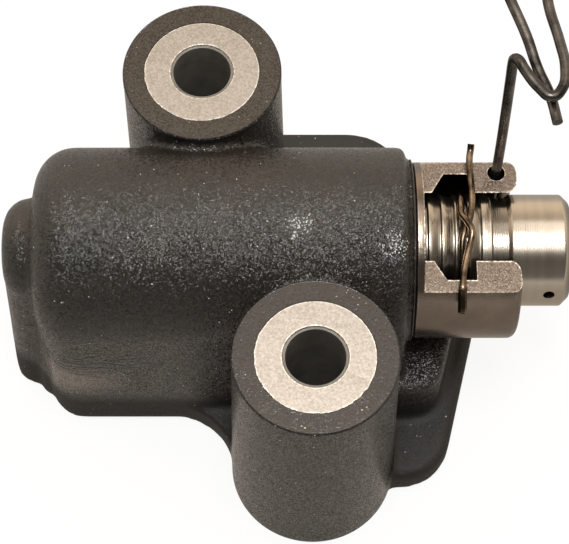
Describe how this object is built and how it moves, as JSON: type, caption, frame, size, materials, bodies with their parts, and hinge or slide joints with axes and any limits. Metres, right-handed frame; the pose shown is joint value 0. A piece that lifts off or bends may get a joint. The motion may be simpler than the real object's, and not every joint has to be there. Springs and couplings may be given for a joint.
{
  "type": "timing chain tensioner",
  "caption": "Hydraulic chain tensioner: moulded housing with bushed bolt bosses, windowed steel sleeve, ratchet plunger, wire ratchet ring and pull-out lock pin.",
  "frame": {"origin": "on the mounting face, midway between the two bolt holes and under the plunger axis", "axes": "+X along the plunger, the way it extends; +Z away from the mounting face, along the bolt holes; +Y completes the right hand"},
  "size_m": [0.0654, 0.0552, 0.0529],
  "materials": {
    "housing_plastic": "moulded dark brown-black plastic with a fine grain and a soft sheen",
    "bush_steel": "pale warm steel with a fine mottled face",
    "seal_rubber": "matt black rubber",
    "sleeve_steel": "warm grey-brown turned steel",
    "plunger_steel": "bright ground steel",
    "plug_plastic": "natural moulded plastic",
    "spring_steel": "drawn spring wire",
    "ring_wire": "tempered bronze-brown spring wire",
    "pin_wire": "dark oiled spring wire",
    "valve_steel": "plain steel"
  },
  "bodies": {
    "housing_body": {"housing": "housing_plastic", "front_bolt_bush": "bush_steel", "rear_bolt_bush": "bush_steel", "inlet_seal": "seal_rubber", "sleeve": "sleeve_steel", "valve_seat": "valve_steel", "valve_cage": "valve_steel", "valve_spring": "spring_steel", "plunger_spring": "spring_steel", "ratchet_ring": "ring_wire"},
    "plunger_body": {"plunger": "plunger_steel", "vent_plug": "plug_plastic"},
    "lock_pin_body": {"lock_pin": "pin_wire"},
    "ball_body": {"check_ball": "valve_steel"}
  },
  "joints": [
    {"name": "plunger_slide", "type": "slide", "parent": "housing_body", "child": "plunger_body", "axis": [1, 0, 0], "range_m": [0, 0.0135], "deforming": ["plunger_spring", "ratchet_ring"]},
    {"name": "lock_pin_pull", "type": "slide", "parent": "housing_body", "child": "lock_pin_body", "axis": [0, 0, 1], "range_m": [0, 0.02]},
    {"name": "check_ball_lift", "type": "slide", "parent": "housing_body", "child": "ball_body", "axis": [1, 0, 0], "range_m": [0, 0.0006], "stiffness_N_per_m": 20, "deforming": ["valve_spring"]}
  ]
}
